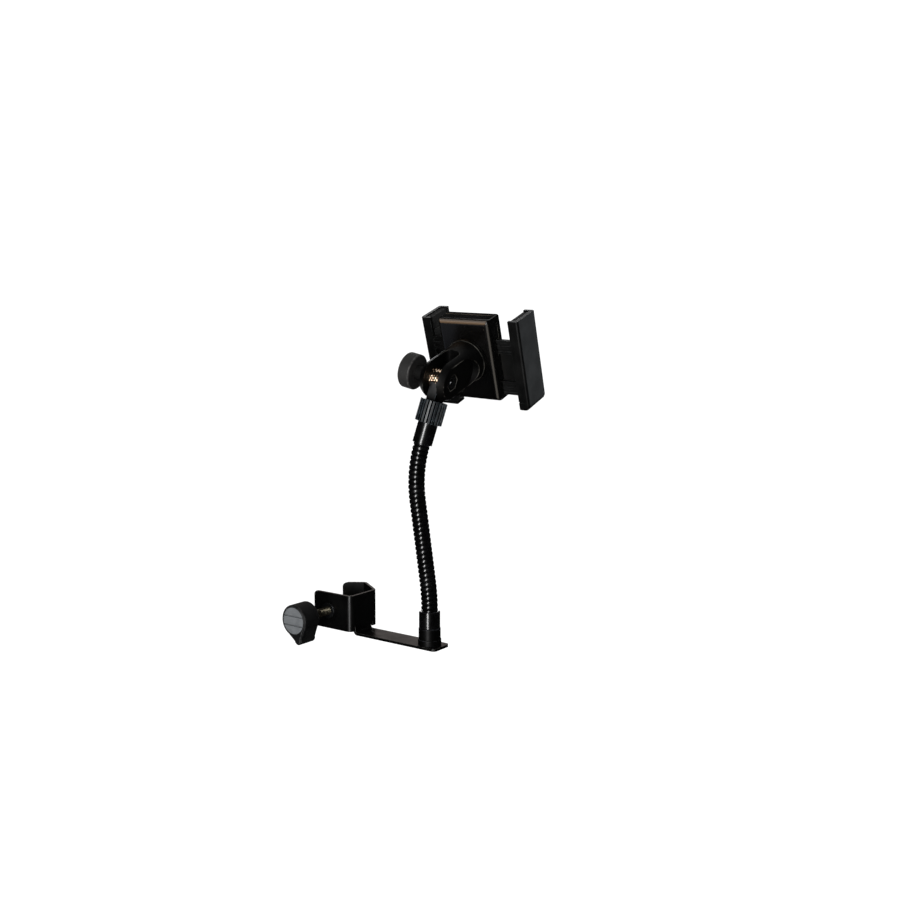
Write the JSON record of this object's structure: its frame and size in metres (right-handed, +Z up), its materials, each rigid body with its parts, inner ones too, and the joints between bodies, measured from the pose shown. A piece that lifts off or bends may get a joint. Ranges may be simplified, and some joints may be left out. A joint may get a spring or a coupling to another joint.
{
  "type": "phone holder",
  "caption": "Clamp-on phone holder: a screw clamp for a stand tube, a gooseneck, a tilting swivel fork and a cradle with two sliding jaws.",
  "frame": {"origin": "on the axis of the clamped stand tube, at the height of the clamp screw", "axes": "+X along the carrier strip to the gooseneck, +Y from the clamp knob to the V jaw, +Z up along the tube"},
  "size_m": [0.1863, 0.17, 0.3099],
  "materials": {
    "powder_coat": "satin powder coat",
    "black_metal": "gloss black",
    "zinc": "bright zinc",
    "yellow_zinc": "yellow zinc",
    "brass": "satin",
    "matte_black": "matte",
    "grey_face": "matte",
    "hinge_plastic": "fine satin",
    "knob_grey": "matte",
    "cradle_black": "semi gloss",
    "jaw_black": "satin",
    "rubber": "matte"
  },
  "bodies": {
    "bracket": {"clamp_bracket": "powder_coat", "rivet_nut": "zinc", "base_screw": "zinc", "lower_collar": "black_metal", "lower_ferrule": "black_metal"},
    "clamp_pad": {"pressure_pad": "black_metal"},
    "clamp_screw": {"clamp_screw": "yellow_zinc", "clamp_knob": "matte_black", "knob_face": "grey_face"},
    "neck": {"gooseneck": "black_metal"},
    "head": {"upper_ferrule": "black_metal", "hinge_base": "hinge_plastic", "pivot_barrel": "brass"},
    "fork": {"pivot_fork": "hinge_plastic", "pivot_nut": "black_metal", "swivel_screw": "zinc", "swivel_nut": "zinc"},
    "pivot_knob": {"pivot_knob": "knob_grey", "pivot_bolt": "black_metal"},
    "cradle": {"rear_housing": "cradle_black", "front_plate": "cradle_black", "front_pad": "rubber", "housing_screws": "zinc"},
    "left_jaw": {"left_jaw": "jaw_black", "left_jaw_pad": "rubber"},
    "right_jaw": {"right_jaw": "jaw_black", "right_jaw_pad": "rubber"},
    "jaw_pinion": {"jaw_pinion": "grey_face"}
  },
  "joints": [
    {"name": "clamp_slide", "type": "slide", "parent": "bracket", "child": "clamp_pad", "axis": [0, 1, 0], "range_m": [-0.018, 0.005]},
    {"name": "clamp_turn", "type": "hinge", "parent": "clamp_pad", "child": "clamp_screw", "pos_m": [0, -0.05, 0], "axis": [0, 1, 0], "range_deg": [-5190, 1446]},
    {"name": "neck_lower_bend", "type": "hinge", "parent": "bracket", "child": "neck", "pos_m": [0.10289, -0.02724, 0.05755], "axis": [-0.585, 0.8111, 0], "range_deg": [-40, 40], "deforming": ["gooseneck"]},
    {"name": "neck_upper_bend", "type": "hinge", "parent": "neck", "child": "head", "pos_m": [0.09697, -0.03151, 0.12033], "axis": [0.8111, 0.585, 0], "range_deg": [-40, 40], "deforming": ["gooseneck"]},
    {"name": "fork_tilt", "type": "hinge", "parent": "head", "child": "fork", "pos_m": [0.11413, -0.01914, 0.21817], "axis": [0.9646, 0.0997, -0.2442], "range_deg": [-30, 60]},
    {"name": "pivot_knob_turn", "type": "hinge", "parent": "fork", "child": "pivot_knob", "pos_m": [0.11413, -0.01914, 0.21817], "axis": [0.9646, 0.0997, -0.2442], "continuous": true},
    {"name": "cradle_swivel", "type": "hinge", "parent": "fork", "child": "cradle", "pos_m": [0.11413, 0.02271, 0.23525], "axis": [0, 0.9259, 0.3778], "continuous": true},
    {"name": "left_jaw_slide", "type": "slide", "parent": "cradle", "child": "left_jaw", "axis": [-0.9976, -0.0264, 0.0646], "range_m": [-0.013, 0.006]},
    {"name": "right_jaw_slide", "type": "slide", "parent": "cradle", "child": "right_jaw", "axis": [0.9976, 0.0264, -0.0646], "range_m": [-0.013, 0.006]},
    {"name": "jaw_pinion_turn", "type": "hinge", "parent": "cradle", "child": "jaw_pinion", "pos_m": [0.11333, 0.03677, 0.22859], "axis": [0, 0.9259, 0.3778], "range_deg": [-80, 170]}
  ],
  "couplings": [
    {"joint": "clamp_turn", "follows": "clamp_slide", "rad_per_m": 5026.5},
    {"joint": "right_jaw_slide", "follows": "left_jaw_slide", "ratio": 1},
    {"joint": "jaw_pinion_turn", "follows": "left_jaw_slide", "rad_per_m": -222.22}
  ]
}
